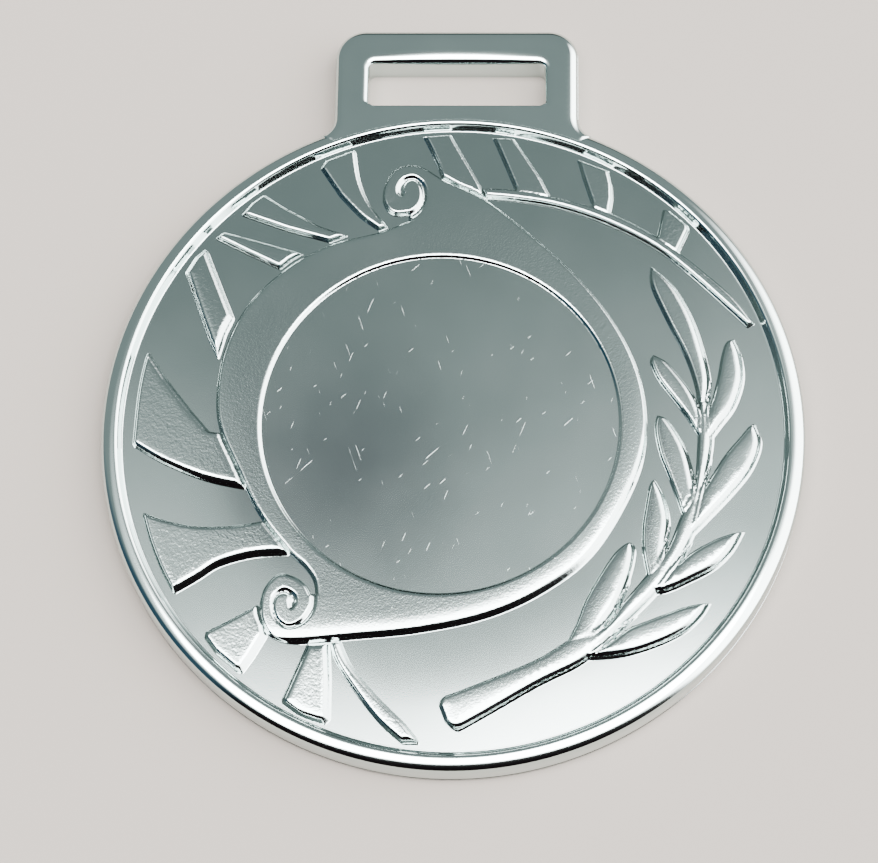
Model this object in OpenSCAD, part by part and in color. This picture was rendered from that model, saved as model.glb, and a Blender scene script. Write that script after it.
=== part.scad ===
// Round award medal with a slotted ribbon loop, a scrolled sunburst relief and an olive branch.
// The medal lies flat: the back rests on z = 0, the decorated face looks up (+Z),
// the ribbon loop points along +Y and the disc centre is on the Z axis. Millimetres.

/* [Disc] */
// outside diameter of the round disc over the rim
disc_d = 50; // [40:1:70]
// thickness from the back to the plain field
field_t = 2.0; // [1.4:0.1:4]
// radial width of the raised rim at its foot
rim_w = 1.35; // [1:0.05:2.4]
// how far the rim stands above the field
rim_rise = 0.5; // [0.5:0.05:1.6]

/* [Ribbon loop] */
// clear width of the ribbon slot
slot_w = 13.1; // [10:0.1:22]
// clear height of the ribbon slot
slot_h = 3.55; // [2.5:0.05:6]
// width of the bar at each side of the slot
loop_bar = 2.4; // [1.4:0.1:3.5]
// width of the bar above the slot
loop_head = 2.7; // [1.4:0.1:3.5]
// thickness of the loop
loop_t = 2.5; // [1.5:0.1:2.7]

/* [Emblem seat] */
// diameter of the plain round seat for a centre emblem
seat_d = 25.5; // [23:0.1:26.5]
// thickness of the seat disc let into the medal
seat_t = 1.2; // [0.7:0.1:1.4]
// how far the seat stands above the plain field
seat_rise = 0.25; // [0.1:0.01:0.3]

/* [Relief] */
// height of the scrolled ring above the field
ring_h = 0.42; // [0.25:0.01:0.55]
// height of the rays above the field
ray_h = 0.40; // [0.25:0.01:0.55]
// height of the comb band and its teeth above the field
comb_h = 0.48; // [0.25:0.01:0.6]
// height of the olive branch above the field
branch_h = 0.46; // [0.25:0.01:0.6]

/* [Hidden] */
k = disc_d / 50;                      // the face design grows with the disc
disc_r = disc_d / 2;
field_r = disc_r - rim_w;             // the field ends at the foot of the rim
rim_t = field_t + rim_rise;
joint_r = disc_r - rim_w * 0.45;      // the loop takes over from the rim outside this radius
loop_w = slot_w + 2 * loop_bar;
slot_y = disc_r + 0.3;                // lower edge of the slot
loop_top = slot_y + slot_h + loop_head;
loop_r = 2.2;                         // outer corner radius of the loop
foot_r = 1.6;                         // fillet between the loop and the rim
bevel = 0.8;                          // bevel around the slot on the face side
seat_c = [-0.89, 0.47] * k;           // the ring and its seat sit a little up and to the left
seat_z = field_t + seat_rise - seat_t; // underside of the seat disc
eps = 0.01;

// ---------- curves ----------
// one point of a Catmull-Rom span
function cr(a, b, c, d, t) = 0.5 * ((2 * b) + (c - a) * t + (2 * a - 5 * b + 4 * c - d) * t * t
  + (3 * b - a - 3 * c + d) * t * t * t);
function at(p, i) = p[max(0, min(len(p) - 1, i))];
// open smooth run through the points p, n steps per span, last point left out
function run(p, n = 3) = [for (i = [0:len(p) - 2]) for (j = [0:n - 1])
  cr(at(p, i - 1), p[i], p[i + 1], at(p, i + 2), j / n)];
// smooth run with its last point
function run_end(p, n = 3) = concat(run(p, n), [p[len(p) - 1]]);
function back(p) = [for (i = [len(p) - 1:-1:0]) p[i]];
function unit(v) = v / norm(v);
// left-hand side of a centre line p with full widths w, shifted by s = 1 or -1
function side(p, w, s) = [for (i = [0:len(p) - 1])
  let (t = unit(at(p, i + 1) - at(p, i - 1))) p[i] + s * w[i] / 2 * [-t[1], t[0]]];
// closed outline of a channel that follows p with widths w
function channel(p, w) = concat(run_end(side(p, w, 1)), back(run_end(side(p, w, -1))));
// closed outline of a leaf between its left and right edges, which share the tip
function leaf(l, r) = concat(run(l, 4), back(run_end(r, 4)));
function arc(c, r, a0, a1, n) = [for (i = [0:n]) c + r * [cos(a0 + (a1 - a0) * i / n), sin(a0 + (a1 - a0) * i / n)]];

// ---------- face design, drawn for a 50 mm disc ----------
// outside of the scrolled ring, from the mouth of the upper scroll clockwise to the lower scroll
ring_outside = [[-3.3, 16.66], [-4.28, 16.6], [-4.9, 17], [-5.26, 17.9], [-5.1, 19.05], [-4.5, 20.16],
  [-3.5, 20.6], [-2.3, 20.36], [-0.7, 19.3], [2.2, 17.8], [6.15, 14.44], [9.33, 11.17], [11.6, 7.95],
  [13.1, 4.6], [13.7, 1.2], [13.45, -2.3], [12.2, -5.9], [9.85, -9.75], [6.76, -12.25], [3.1, -14],
  [-1.42, -15.03], [-6, -15.53], [-10, -15.87], [-12.1, -15.5], [-13.02, -14.3], [-13.18, -13],
  [-12.85, -11.75], [-12, -10.88], [-10.9, -11.05], [-10.1, -11.65], [-9.7, -12.35]];
// left side of the ring, from the mouth of the lower scroll up to the upper scroll
ring_left = [[-9.32, -12.3], [-9.5, -11.3], [-10.2, -10.25], [-11.45, -9.05], [-13.55, -6.3], [-15.2, -2.95],
  [-16.5, 0], [-16.8, 2.7], [-16.35, 6], [-14.9, 9.35], [-12.3, 12.2], [-9.15, 14.15], [-5.5, 15.2],
  [-3.3, 16.1]];
// channels that wind into the two scrolls
upper_path = [[-3.4, 16.4], [-2.82, 16.78], [-2.42, 17.35], [-2.26, 18], [-2.33, 18.65], [-2.6, 19.15],
  [-3.1, 19.48], [-3.65, 19.3], [-3.95, 18.8], [-3.95, 18.3], [-3.75, 18.15]];
upper_width = [0.6, 0.5, 0.42, 0.4, 0.36, 0.34, 0.34, 0.4, 0.5, 0.5, 0.35];
lower_path = [[-9.53, -12.2], [-9.47, -12.8], [-9.62, -13.5], [-10.25, -14.35], [-11.2, -14.7],
  [-12, -14.15], [-12.29, -13.3], [-12.14, -12.5], [-11.55, -12.12], [-11, -12.45], [-10.95, -12.95],
  [-11.05, -13.4]];
lower_width = [0.42, 0.36, 0.35, 0.34, 0.26, 0.22, 0.18, 0.22, 0.38, 0.46, 0.54, 0.2];
// comb band that sweeps from the top of the ring to the right of the rim
comb_low = [[2.21, 18.02], [4.64, 17.78], [7.5, 17.25], [10.7, 16.12], [14.2, 14.25], [16.9, 12.05],
  [19.94, 9.08], [21.05, 7.95]];
comb_high = [[21.5, 8.2], [20.1, 10.15], [18.12, 12.05], [16.08, 13.8], [14.03, 15.3], [11.2, 16.82],
  [7.97, 17.85], [4.38, 18.6], [1.9, 18.72]];
// rays, counted clockwise from the foot of the ring
ray_pts = [
  concat(run([[-8.3, -15.6], [-7.8, -17.15], [-6.4, -19.3], [-4.76, -21.4], [-3.1, -22.9]]),
    run([[-1.95, -22.9], [-2.94, -21.6], [-4.9, -19.65], [-6.73, -17.45], [-7.6, -15.6]])),
  concat([[-8.35, -15.5], [-8.17, -18.4], [-8.14, -21.3]], run([[-8.4, -21.55], [-10.06, -21], [-11.42, -20.05]]),
    [[-11.42, -19.8], [-9.8, -15.9], [-9.6, -15.6]]),
  [[-13.4, -13.1], [-13, -14], [-12.65, -15.4], [-13.55, -17], [-14.2, -17.95], [-14.6, -17.85],
    [-16.1, -16.6], [-16.95, -15.45], [-16.9, -15.05], [-14.9, -13.97]],
  concat(run([[-12.9, -6.9], [-15.2, -7.3], [-17.94, -7.36], [-20.3, -6.85], [-21.65, -6.35]]),
    run([[-21.65, -6.6], [-21.05, -8.5], [-20.2, -10.5], [-19.3, -12.15]]),
    run_end([[-19.05, -12.2], [-17.48, -11.24], [-15.97, -10.26], [-13.7, -9.6], [-11.3, -9.4]])),
  concat(run([[-21.76, 5.7], [-22, 5.5], [-22.44, 2.8], [-22.64, -1.1]]),
    run([[-22.5, -1.35], [-20.36, -2.64], [-17.33, -3.92], [-14.5, -4.55]]), [[-15.5, -2.2], [-16.3, -0.4]],
    [[-17.26, -0.29], [-18.55, 1.23], [-20.36, 3.58]]),
  [[-19.42, 12.1], [-18.75, 13.3], [-18.15, 13.85], [-17.95, 13.7], [-16.7, 10.55], [-15.82, 8.35],
    [-16.35, 7.1], [-16.8, 5.35], [-17.5, 6.75], [-18.25, 8.75]],
  [[-17.35, 14.8], [-16.8, 15.25], [-14.3, 14.5], [-12.03, 13.8], [-11.1, 13.5], [-12.03, 12.9],
    [-12.64, 12.36], [-14.9, 13.5]],
  [[-15.5, 16.66], [-14.8, 17.6], [-14, 18.23], [-12.5, 17.2], [-9.9, 15.7], [-7.86, 14.97], [-9.08, 14.48],
    [-12.2, 15.4]],
  concat([[-9.85, 20.4], [-9.5, 21], [-7.5, 21.85]], run([[-7.4, 21.7], [-7.03, 19.4], [-6.27, 17.5], [-4.95, 15.65]]),
    run([[-5.5, 15.42], [-6.9, 16.5], [-8.4, 18.15]])),
  [[-2.35, 22.95], [-0.4, 23.08], [0.55, 21.3], [1.2, 20.1], [1.8, 18.95], [2.35, 17.6], [-1, 19.6],
    [-1.3, 20.6], [-1.9, 22]],
  [[2.75, 22.85], [4.2, 22.8], [4.94, 21.64], [6.15, 19.67], [7.05, 17.8], [4.3, 18.3], [4.38, 18.7],
    [3.73, 20.4]],
  [[8.95, 21.1], [11.15, 20.2], [11.4, 19], [11.42, 17.9], [11.2, 16.5], [9.9, 17.1], [9.97, 17.5],
    [9.3, 19.7]],
  [[15.15, 17.1], [15.5, 17.05], [16.85, 15.85], [16.95, 15.5], [16.05, 13.5], [14.5, 14.6], [14.7, 15]]];
// stem of the branch, left edge then right edge, from the cut end to the top
stem_left = [[-0.62, -20.2], [-0.3, -19.6], [1, -19.07], [5.85, -17], [8.6, -15.3], [10.7, -14.55], [12, -12.85],
  [13.5, -11], [15.1, -8.95], [16.1, -6.5], [17.05, -4.4], [17.35, -1.5], [17.5, 2.1]];
stem_right = [[-0.2, -21.3], [0.7, -21.97], [2.14, -21.3], [6.15, -18.9], [9.2, -17.3], [10.8, -15.9],
  [11.95, -14.7], [14.4, -12.2], [16, -9.9], [17.2, -7.4], [17.92, -4.06], [18.45, -0.9], [18.2, 1.9]];
// leaves, left and right edges from the foot to the shared tip
leaf_l = [
  [[8, -15.9], [8.75, -14.4], [9.4, -12.7], [10.3, -11], [11.4, -9.3], [12.15, -8.58], [12.5, -8.42]],
  [[11.3, -15.5], [12.4, -14.65], [13.9, -14], [16, -13.15], [17.2, -12.85], [18.15, -12.78]],
  [[13.8, -11.3], [13.42, -9], [13.42, -7.3], [13.62, -5.9], [13.95, -4.2], [14.3, -3.74]],
  [[15.3, -10.5], [16.6, -9.3], [17.6, -8.62], [18.7, -8.03], [19.8, -7.65], [20.55, -7.55]],
  [[16.3, -6.6], [15.75, -4.9], [15.2, -3.3], [14.65, -1.7], [14.37, 0.1], [14.55, 1.08]],
  [[17.5, -4.8], [18.35, -3.4], [19.3, -1.85], [20.3, -0.6], [21, 0.25], [21.4, 0.52]],
  [[17.7, -0.9], [16.5, 1.15], [15.5, 2.55], [14.6, 3.85], [14.1, 5.1], [14.3, 5.68]],
  [[17.9, 0.9], [18.45, 2.3], [18.9, 4.1], [19.15, 5.5], [19.5, 6.65], [20.05, 6.95]],
  [[17.6, 1.3], [17.2, 3.6], [16.5, 5.8], [15.2, 8.6], [14.2, 11.1], [14.2, 12.55]]];
leaf_r = [
  [[10.2, -15.6], [10.9, -14.3], [11.75, -13], [12.45, -11.3], [12.85, -9.6], [12.8, -8.7], [12.5, -8.42]],
  [[9.3, -16.9], [12.3, -16.6], [14.6, -15.85], [16.4, -14.9], [17.5, -13.85], [18.15, -12.78]],
  [[14.9, -10.2], [15.1, -8.6], [15.3, -7.2], [15.18, -6], [14.85, -4.8], [14.3, -3.74]],
  [[14.2, -12.1], [15.3, -11.95], [17, -11.15], [18.5, -10.3], [19.7, -9.1], [20.55, -7.55]],
  [[17.3, -5.2], [17, -3.3], [16.6, -1.75], [16, -0.45], [15.2, 0.75], [14.55, 1.08]],
  [[16.7, -8.2], [17.9, -6.95], [19.9, -4.75], [21.2, -3], [21.85, -1.1], [21.4, 0.52]],
  [[17.8, 0.9], [17.4, 2], [16.85, 3.05], [16.1, 4.1], [15.2, 5.15], [14.3, 5.68]],
  [[18.2, -1], [19.1, 0.25], [20.1, 1.7], [20.7, 3.7], [20.55, 5.6], [20.05, 6.95]],
  [[18, 1.3], [18.33, 3.5], [17.9, 6], [17.1, 8.6], [15.8, 11], [14.2, 12.55]]];

// ---------- helpers ----------
// a flat outline of the face design standing h above the field
module raised(pts, h) translate([0, 0, field_t]) linear_extrude(height = h) polygon(pts * k);
// the same outline used as a cutter, a little taller at both ends
module cutter(pts) translate([0, 0, field_t - 1]) linear_extrude(height = 3) polygon(pts * k);
function ring_outline() = concat(run_end(ring_outside), run_end(ring_left));

// the rim all the way round: straight foot, rolled top and a small step at the back edge
module rim_body() {
  roll = [for (i = [0:8]) let (a = 90 * i / 8)
    [disc_r - 0.1 - (rim_w * 0.62) * (1 - cos(a)), rim_t - 1.15 + 1.15 * sin(a)]];
  rotate_extrude($fn = 180) polygon(concat(
    [[field_r, 0], [disc_r - 0.15, 0], [disc_r, 0.12], [disc_r, 0.35], [disc_r - 0.1, 0.45]],
    roll, [[field_r + 0.2, rim_t - 0.15], [field_r, field_t]]));
}
// outline of the loop and its filleted foot
module loop_outline() {
  w = loop_w / 2;
  fy = sqrt(pow(disc_r + foot_r, 2) - pow(w + foot_r, 2));
  a = atan2(fy, w + foot_r);
  right = concat([[0, disc_r - 3], [(disc_r - 3) * cos(a), (disc_r - 3) * sin(a)]],
    arc([w + foot_r, fy], foot_r, a + 180, 180, 5),
    arc([w - loop_r, loop_top - loop_r], loop_r, 0, 90, 8));
  polygon(concat(right, [for (i = [len(right) - 1:-1:1]) [-right[i][0], right[i][1]]]));
}
// block that marks the part of the rim that belongs to the loop
module loop_zone(grow = 0) translate([0, 0, -1]) difference() {
  linear_extrude(height = rim_t + 2) loop_outline();
  translate([0, 0, -1]) cylinder(r = joint_r, h = rim_t + 4, $fn = 180);
}

// ---------- parts ----------
module disc() color("silver") difference() {
  cylinder(r = field_r, h = field_t, $fn = 180);
  translate([seat_c[0], seat_c[1], seat_z]) cylinder(d = seat_d * k, h = seat_t + 1, $fn = 180);
}
module rim() color("silver") difference() { rim_body(); loop_zone(); }
module ribbon_loop() color("silver") {
  y1 = slot_y; y2 = slot_y + slot_h;
  difference() {
    union() {
      intersection() { rim_body(); loop_zone(); }
      intersection() {
        linear_extrude(height = loop_t) loop_outline();
        loop_zone();
        // the top edge and the two sides fall away in a soft chamfer
        rotate([90, 0, 90]) linear_extrude(height = loop_w + 6, center = true)
          polygon([[0, -1], [loop_top + 1, -1], [loop_top + 1, 0], [loop_top, 0.2], [loop_top, loop_t - 0.8],
            [loop_top - 0.25, loop_t - 0.3], [loop_top - 0.8, loop_t], [0, loop_t]]);
      }
    }
    // slot with rounded ends of its corners
    translate([0, 0, -1]) linear_extrude(height = rim_t + 2) polygon(concat(
      arc([slot_w / 2 - 0.5, y2 - 0.5], 0.5, 0, 90, 4), arc([-slot_w / 2 + 0.5, y2 - 0.5], 0.5, 90, 180, 4),
      arc([-slot_w / 2 + 0.5, y1 + 0.5], 0.5, 180, 270, 4), arc([slot_w / 2 - 0.5, y1 + 0.5], 0.5, 270, 360, 4)));
    // bevels on the face side at the top and both ends of the slot
    translate([0, y2, loop_t]) rotate([45, 0, 0]) cube([slot_w + 0.2, bevel * 1.41, bevel * 1.41], center = true);
    for (s = [-1, 1]) translate([s * slot_w / 2, (y1 + y2) / 2, loop_t]) rotate([0, 45, 0])
      cube([bevel * 1.41, slot_h - 0.2, bevel * 1.41], center = true);
  }
}
module emblem_seat() color("gainsboro") translate([seat_c[0], seat_c[1], seat_z])
  cylinder(d = seat_d * k, h = seat_t, $fn = 180);
module scroll_ring() color("lightgray") difference() {
  raised(ring_outline(), ring_h);
  translate([seat_c[0], seat_c[1], field_t - 1]) cylinder(d = seat_d * k, h = 3, $fn = 180);
  cutter(channel(upper_path, upper_width));
  cutter(channel(lower_path, lower_width));
}
module comb_band() color("lightgray") difference() {
  raised(concat(run_end(comb_low), run_end(comb_high)), comb_h);
  cutter(ring_outline());
  cutter(ray_pts[9]);
}
// a plain ray
module ray(i) color("lightgray") raised(ray_pts[i], ray_h);
// a ray whose inner end is butted against the ring
module ray_on_ring(i, h = ray_h) color("lightgray") difference() { raised(ray_pts[i], h); cutter(ring_outline()); }
// a tooth of the comb, standing on the band
module tooth(i) color("lightgray") difference() {
  raised(ray_pts[i], comb_h);
  cutter(concat(run_end(comb_low), run_end(comb_high)));
}
module ray_01() ray_on_ring(0);
module ray_02() ray_on_ring(1);
module ray_03() ray_on_ring(2);
module ray_04() ray_on_ring(3);
module ray_05() ray_on_ring(4);
module ray_06() ray(5);
module ray_07() ray_on_ring(6);
module ray_08() ray_on_ring(7);
module ray_09() ray_on_ring(8);
module ray_10() ray_on_ring(9, comb_h);
module ray_11() tooth(10);
module ray_12() tooth(11);
module ray_13() tooth(12);
function stem_outline() = concat(run_end(stem_left), back(run_end(stem_right)));
module branch_stem() color("lightgray") raised(stem_outline(), branch_h);
// a leaf butted against the stem
module branch_leaf(i) color("lightgray") difference() {
  raised(leaf(leaf_l[i], leaf_r[i]), branch_h);
  cutter(stem_outline());
}
module leaf_1() branch_leaf(0);
module leaf_2() branch_leaf(1);
module leaf_3() branch_leaf(2);
module leaf_4() branch_leaf(3);
module leaf_5() branch_leaf(4);
module leaf_6() branch_leaf(5);
module leaf_7() branch_leaf(6);
module leaf_8() branch_leaf(7);
module leaf_9() branch_leaf(8);

disc();
rim();
ribbon_loop();
emblem_seat();
scroll_ring();
comb_band();
ray_01();
ray_02();
ray_03();
ray_04();
ray_05();
ray_06();
ray_07();
ray_08();
ray_09();
ray_10();
ray_11();
ray_12();
ray_13();
branch_stem();
leaf_1();
leaf_2();
leaf_3();
leaf_4();
leaf_5();
leaf_6();
leaf_7();
leaf_8();
leaf_9();
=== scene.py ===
"""Looks of a round, silver-plated award medal lying on its back.

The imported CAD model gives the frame. Every visible piece is modelled here in
its place, in metres, and stands for the CAD node of the same design element:
the plain field, the rolled rim, the ribbon loop, the emblem seat, the scrolled
ring, the comb, the rays and the olive branch. The object is one casting, so
its raised ornaments are cast reliefs whose walls flow out of the field.
"""

import logging
import math
from dataclasses import dataclass, field
from enum import Enum

import bmesh
import bpy
import numpy as np
from mathutils import Matrix, Vector
from mathutils.geometry import delaunay_2d_cdt


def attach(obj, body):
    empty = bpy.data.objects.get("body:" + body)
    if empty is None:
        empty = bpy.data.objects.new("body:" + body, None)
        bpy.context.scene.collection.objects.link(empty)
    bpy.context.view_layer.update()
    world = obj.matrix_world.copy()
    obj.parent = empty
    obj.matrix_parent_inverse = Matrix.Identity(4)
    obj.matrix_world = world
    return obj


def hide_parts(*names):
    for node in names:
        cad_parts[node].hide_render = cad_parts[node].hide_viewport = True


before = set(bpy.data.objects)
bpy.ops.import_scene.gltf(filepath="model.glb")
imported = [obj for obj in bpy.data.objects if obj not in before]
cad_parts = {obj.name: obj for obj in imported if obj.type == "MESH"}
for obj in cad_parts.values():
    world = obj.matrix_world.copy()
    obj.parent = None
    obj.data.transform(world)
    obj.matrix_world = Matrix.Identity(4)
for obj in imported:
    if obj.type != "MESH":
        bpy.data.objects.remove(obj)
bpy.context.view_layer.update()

MM = 0.001
Point = tuple[float, float]
Loop = list[Point]

log = logging.getLogger("medal")


# ---------------------------------------------------------------- colours
def srgb(code: str) -> tuple[float, float, float, float]:
    """Turns an sRGB hex colour into the linear colour that shaders read.

    Args:
        code: The colour, such as "#c8cdca".

    Returns:
        Linear red, green, blue and an alpha of 1.
    """
    parts = [int(code[i:i + 2], 16) / 255 for i in (1, 3, 5)]
    linear = [c / 12.92 if c <= 0.04045 else ((c + 0.055) / 1.055) ** 2.4 for c in parts]
    return linear[0], linear[1], linear[2], 1.0


def add_node(tree: bpy.types.NodeTree, kind: str, settings: dict | None = None,
             inputs: dict | None = None) -> bpy.types.Node:
    """Adds one shader node, with its settings, socket values and links.

    Args:
        tree: The node tree it goes into.
        kind: The node's type name.
        settings: Attribute values of the node.
        inputs: Values or output sockets, by input name or number.

    Returns:
        The new node.
    """
    node = tree.nodes.new(kind)
    for name, value in (settings or {}).items():
        setattr(node, name, value)
    for key, value in (inputs or {}).items():
        if isinstance(value, bpy.types.NodeSocket):
            tree.links.new(value, node.inputs[key])
        else:
            node.inputs[key].default_value = value
    return node


# ---------------------------------------------------------------- outlines
def smooth_run(points: Loop, steps: int = 6, end: bool = False) -> Loop:
    """Runs a smooth curve through a few points.

    Args:
        points: The points, in millimetres.
        steps: Steps per span.
        end: Whether the last point is kept.

    Returns:
        The points of the curve.
    """
    last = len(points) - 1
    out: Loop = []
    for i in range(last):
        a, b = points[max(0, i - 1)], points[i]
        c, d = points[i + 1], points[min(last, i + 2)]
        for j in range(steps):
            t = j / steps
            out.append(tuple(0.5 * (2 * b[n] + (c[n] - a[n]) * t
                                    + (2 * a[n] - 5 * b[n] + 4 * c[n] - d[n]) * t * t
                                    + (3 * b[n] - a[n] - 3 * c[n] + d[n]) * t ** 3)
                             for n in (0, 1)))
    return out + [points[-1]] if end else out


def channel(path: Loop, widths: list[float]) -> Loop:
    """Outlines a channel that follows a centre line.

    Args:
        path: The centre line.
        widths: Its full width at each point.

    Returns:
        The closed outline.
    """
    sides: list[Loop] = [[], []]
    for i, (p, w) in enumerate(zip(path, widths)):
        q, r = path[max(0, i - 1)], path[min(len(path) - 1, i + 1)]
        run = Vector((r[0] - q[0], r[1] - q[1])).normalized()
        for side, s in zip(sides, (1, -1)):
            side.append((p[0] - s * w / 2 * run.y, p[1] + s * w / 2 * run.x))
    return smooth_run(sides[0], 6, True) + smooth_run(sides[1], 6, True)[::-1]


def circle(centre: Point, radius: float, steps: int) -> Loop:
    """A closed circle as points, anticlockwise."""
    return [(centre[0] + radius * math.cos(math.tau * i / steps),
             centre[1] + radius * math.sin(math.tau * i / steps)) for i in range(steps)]


def arc(centre: Point, radius: float, start: float, stop: float, steps: int) -> Loop:
    """Points along an arc, with its angles in degrees."""
    turns = [math.radians(start + (stop - start) * i / steps) for i in range(steps + 1)]
    return [(centre[0] + radius * math.cos(a), centre[1] + radius * math.sin(a)) for a in turns]


def even(loop: Loop, gap: float) -> np.ndarray:
    """Spaces points along a closed outline and keeps its corners.

    Args:
        loop: The closed outline.
        gap: The widest gap between points.

    Returns:
        The points, one per row.
    """
    out = []
    for a, b in zip(loop, loop[1:] + loop[:1]):
        n = max(1, math.ceil(math.dist(a, b) / gap))
        out += [(a[0] + (b[0] - a[0]) * i / n, a[1] + (b[1] - a[1]) * i / n) for i in range(n)]
    return np.array(out)


def depth_inside(pts: np.ndarray, loop: Loop, reach: float = 0.6) -> np.ndarray:
    """Measures how deep points lie inside a closed outline.

    Args:
        pts: The points, one per row.
        loop: The closed outline.
        reach: How far outside the outline's box the measure is still exact.

    Returns:
        The distance to the outline, negative outside.
    """
    a = np.array(loop)
    run = np.roll(a, -1, axis=0) - a
    size = np.maximum((run ** 2).sum(1), 1e-12)
    rise = np.where(np.abs(run[:, 1]) < 1e-12, 1e-12, run[:, 1])
    # only points near the outline's box need the full measure
    gap = np.maximum(a.min(0) - pts, pts - a.max(0)).max(1)
    out = -np.maximum(gap, 0.0) - reach
    close = np.flatnonzero(gap < reach)
    for k in range(0, len(close), 2000):
        part = close[k:k + 2000]
        dx, dy = pts[part, 0, None] - a[:, 0], pts[part, 1, None] - a[:, 1]
        t = np.clip((dx * run[:, 0] + dy * run[:, 1]) / size, 0, 1)
        near = np.sqrt(((dx - t * run[:, 0]) ** 2 + (dy - t * run[:, 1]) ** 2).min(1))
        hits = ((dy < 0) != (dy - run[:, 1] < 0)) & (dx < dy * run[:, 0] / rise)
        out[part] = np.where(hits.sum(1) % 2 == 1, near, -near)
    return out


@dataclass(frozen=True)
class MedalSizes:
    """Sizes that the sub-assemblies share, in millimetres."""

    disc_r: float = 25.0
    field_t: float = 2.0
    rim_w: float = 1.35
    rim_rise: float = 0.5
    slot_w: float = 13.1
    slot_h: float = 3.55
    loop_bar: float = 2.4
    loop_head: float = 2.7
    loop_t: float = 2.5
    seat_d: float = 25.5
    seat_centre: Point = (-0.89, 0.47)
    seat_rise: float = 0.25
    ring_h: float = 0.42
    ray_h: float = 0.40
    comb_h: float = 0.48
    branch_h: float = 0.46
    fall_from: float = 14.0
    fall_over: float = 7.0
    fall: float = 0.028

    @property
    def field_r(self) -> float:
        """Radius of the field, up to the foot of the rim."""
        return self.disc_r - self.rim_w

    @property
    def rim_t(self) -> float:
        """Height of the rim's crown above the back."""
        return self.field_t + self.rim_rise

    def field_z(self, r: np.ndarray | float) -> np.ndarray | float:
        """Height of the field, which falls away very slightly towards the rim.

        Args:
            r: Distance from the medal's axis.

        Returns:
            The height above the back.
        """
        t = np.clip((r - self.fall_from) / self.fall_over, 0, 1)
        fall = self.fall * (self.fall_over * (t ** 3 - t ** 4 / 2)
                            + np.maximum(r - self.fall_from - self.fall_over, 0))
        return self.field_t - fall


# ---------------------------------------------------------------- cast reliefs
@dataclass(frozen=True)
class WallProfile:
    """Height of a cast relief against the distance inside its outline, in mm.

    The run starts in the field a little outside the outline, curves up through
    a small fillet, climbs the drafted wall and rolls over a rounded shoulder.
    Each step is a distance and the height there, and the mesh gets a row of
    points at each distance in rows.
    """

    steps: tuple[Point, ...]
    rows: tuple[float, ...] = (-0.13, -0.07, 0.0, 0.05, 0.1, 0.15, 0.2, 0.26, 0.33, 0.42, 0.54, 0.7)

    def height(self, depth: np.ndarray) -> np.ndarray:
        """Height above the field at each depth inside the outline.

        Args:
            depth: Distances inside the outline.

        Returns:
            The heights, on a smooth curve through the steps.
        """
        xs = np.array([s[0] for s in self.steps])
        zs = np.array([s[1] for s in self.steps])
        slope = np.diff(zs) / np.diff(xs)
        lean = np.zeros(len(xs))
        both = slope[:-1] * slope[1:] > 0
        lean[1:-1][both] = 2 / (1 / slope[:-1][both] + 1 / slope[1:][both])
        lean[-1] = slope[-1] * 0.5
        d = np.clip(depth, xs[0], xs[-1])
        i = np.clip(np.searchsorted(xs, d) - 1, 0, len(slope) - 1)
        h = xs[i + 1] - xs[i]
        t = (d - xs[i]) / h
        return (zs[i] * (1 + 2 * t) * (1 - t) ** 2 + zs[i + 1] * t * t * (3 - 2 * t)
                + lean[i] * h * t * (1 - t) ** 2 - lean[i + 1] * h * t * t * (1 - t))


def crisp(height: float, crown: float = 0.005) -> WallProfile:
    """A steep wall with a tight shoulder, as the die leaves it.

    Args:
        height: Height of the flat top.
        crown: How far the middle rises above the shoulder.

    Returns:
        The wall profile.
    """
    return WallProfile(((-0.11, -0.012), (-0.07, 0.0), (-0.02, 0.04), (0.07, height * 0.64),
                        (0.11, height * 0.84), (0.17, height * 0.95), (0.27, height),
                        (0.9, height + crown)),
                       (-0.1, -0.05, 0.0, 0.05, 0.1, 0.15, 0.2, 0.26, 0.33, 0.42, 0.54, 0.7))


def worn(height: float, shoulder: float, shift: float) -> WallProfile:
    """A sloping wall with a soft shoulder, as on the sides that wear first.

    Args:
        height: Height of the flat top.
        shoulder: Width of the shoulder, from the wall to the flat top.
        shift: How far the outline that it follows is moved away from that side.

    Returns:
        The wall profile.
    """
    foot = -shift
    edge = foot + 0.41
    return WallProfile(((foot - 0.13, -0.012), (foot - 0.07, 0.0), (foot, 0.025),
                        (foot + 0.34, height * 0.78), (edge, height * 0.87),
                        (edge + shoulder * 0.25, height * 0.93),
                        (edge + shoulder * 0.5, height * 0.968), (edge + shoulder, height * 0.993),
                        (foot + 0.46 + shoulder * 1.5, height),
                        (foot + 0.6 + shoulder * 2, height + 0.003)))


def drafted(height: float) -> WallProfile:
    """A wall with more draft and a soft shoulder, as on the broad-edged rays.

    Args:
        height: Height of the flat top.

    Returns:
        The wall profile.
    """
    return WallProfile(((-0.12, -0.012), (-0.08, 0.0), (-0.03, 0.04), (0.1, height * 0.55),
                        (0.18, height * 0.76), (0.27, height * 0.9), (0.4, height * 0.98),
                        (0.6, height), (0.9, height + 0.005)))


@dataclass
class Ornament:
    """One raised ornament: its name, outline and the outlines that cut it."""

    name: str
    outline: Loop
    cuts: list[Loop] = field(default_factory=list)

    def depth(self, pts: np.ndarray) -> np.ndarray:
        """Distance of points inside the ornament, less its cuts."""
        d = depth_inside(pts, self.outline)
        for cut in self.cuts:
            d = np.minimum(d, -depth_inside(pts, cut))
        return d


# spacing of the grids on which points that nearly meet count as one, in millimetres
SAME_POINT = 0.05
SAME_ROW = 0.04
# extra rows on the ring, where it rises from the seat's lip
SEAT_ROWS = (0.95, 1.25)


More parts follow.
